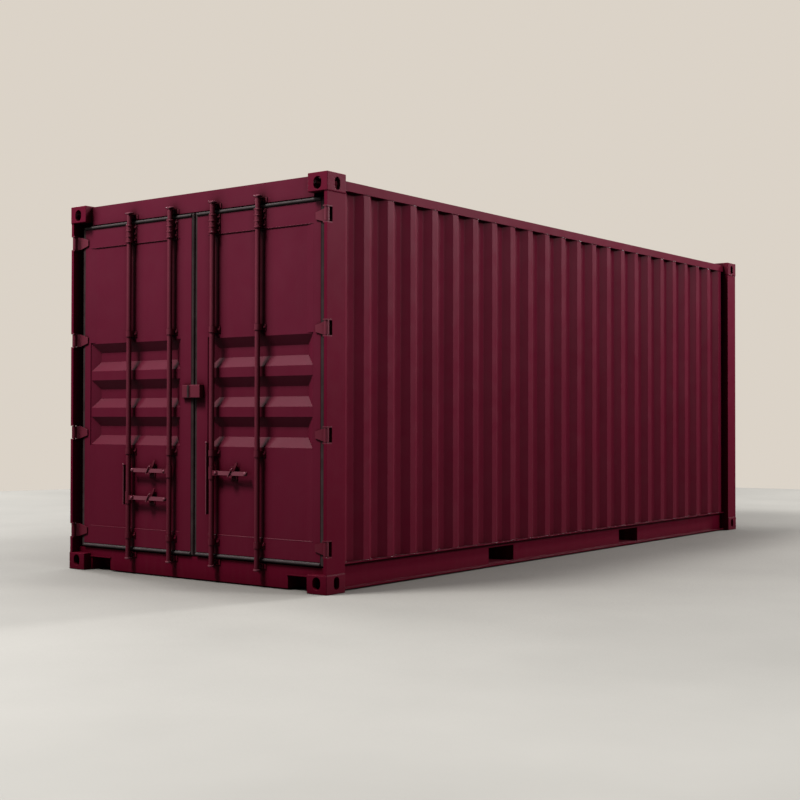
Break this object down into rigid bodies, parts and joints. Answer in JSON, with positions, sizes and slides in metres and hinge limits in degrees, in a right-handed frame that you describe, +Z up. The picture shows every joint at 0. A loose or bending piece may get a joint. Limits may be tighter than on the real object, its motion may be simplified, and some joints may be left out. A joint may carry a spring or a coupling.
{
  "type": "shipping container",
  "caption": "Steel freight container with corrugated walls, ribbed roof, plywood floor and hinged end doors held shut by lock rods with lifting handles.",
  "frame": {"origin": "on the ground under the middle of the box", "axes": "+Z up, +Y along the length from the door end to the closed end, +X to the right of someone facing the doors"},
  "size_m": [2.438, 6.058, 2.591],
  "materials": {
    "body_paint": "satin",
    "seal_rubber": "matt",
    "floor_plywood": "matt"
  },
  "bodies": {
    "box": {"top_castings": "body_paint", "bottom_castings": "body_paint", "rear_posts": "body_paint", "front_posts": "body_paint", "door_header": "body_paint", "door_sill": "body_paint", "front_rails": "body_paint", "top_side_rails": "body_paint", "bottom_side_rails": "body_paint", "bottom_rail_webs": "body_paint", "right_wall": "body_paint", "left_wall": "body_paint", "front_wall": "body_paint", "roof": "body_paint", "roof_corner_plates": "body_paint", "floor": "floor_plywood", "cross_members": "body_paint", "fork_pocket_cheeks": "body_paint", "fork_pocket_plates": "body_paint", "hinge_lugs": "body_paint", "hinge_pins": "body_paint", "keepers": "body_paint"},
    "right_door": {"right_door_frame": "body_paint", "right_door_panel": "body_paint", "right_door_seal": "seal_rubber", "right_hinge_blades": "body_paint", "right_rod_guides": "body_paint", "right_catches": "body_paint"},
    "left_door": {"left_door_frame": "body_paint", "left_door_panel": "body_paint", "left_door_seal": "seal_rubber", "left_hinge_blades": "body_paint", "left_rod_guides": "body_paint", "left_catches": "body_paint"},
    "left_outer_rod": {"left_outer_rod": "body_paint", "left_outer_cams": "body_paint"},
    "left_inner_rod": {"left_inner_rod": "body_paint", "left_inner_cams": "body_paint"},
    "right_inner_rod": {"right_inner_rod": "body_paint", "right_inner_cams": "body_paint"},
    "right_outer_rod": {"right_outer_rod": "body_paint", "right_outer_cams": "body_paint"},
    "left_outer_handle": {"left_outer_handle": "body_paint"},
    "left_inner_handle": {"left_inner_handle": "body_paint"},
    "right_inner_handle": {"right_inner_handle": "body_paint"}
  },
  "joints": [
    {"name": "right_door_swing", "type": "hinge", "parent": "box", "child": "right_door", "pos_m": [1.198, -3.008, 1.3], "axis": [0, 0, 1], "range_deg": [0, 270]},
    {"name": "left_door_swing", "type": "hinge", "parent": "box", "child": "left_door", "pos_m": [-1.198, -3.008, 1.3], "axis": [0, 0, -1], "range_deg": [0, 270]},
    {"name": "left_outer_rod_turn", "type": "hinge", "parent": "left_door", "child": "left_outer_rod", "pos_m": [-0.614, -3.007, 1.3], "axis": [0, 0, 1], "range_deg": [-100, 0]},
    {"name": "left_inner_rod_turn", "type": "hinge", "parent": "left_door", "child": "left_inner_rod", "pos_m": [-0.203, -3.007, 1.3], "axis": [0, 0, -1], "range_deg": [-100, 0]},
    {"name": "right_inner_rod_turn", "type": "hinge", "parent": "right_door", "child": "right_inner_rod", "pos_m": [0.203, -3.007, 1.3], "axis": [0, 0, 1], "range_deg": [-100, 0]},
    {"name": "right_outer_rod_turn", "type": "hinge", "parent": "right_door", "child": "right_outer_rod", "pos_m": [0.614, -3.007, 1.3], "axis": [0, 0, -1], "range_deg": [-100, 0]},
    {"name": "left_outer_handle_lift", "type": "hinge", "parent": "left_outer_rod", "child": "left_outer_handle", "pos_m": [-0.57, -3.007, 0.53], "axis": [0, 1, 0], "range_deg": [-20, 0]},
    {"name": "left_inner_handle_lift", "type": "hinge", "parent": "left_inner_rod", "child": "left_inner_handle", "pos_m": [-0.247, -3.007, 0.72], "axis": [0, -1, 0], "range_deg": [-20, 0]},
    {"name": "right_inner_handle_lift", "type": "hinge", "parent": "right_inner_rod", "child": "right_inner_handle", "pos_m": [0.247, -3.007, 0.72], "axis": [0, 1, 0], "range_deg": [-20, 0]}
  ]
}
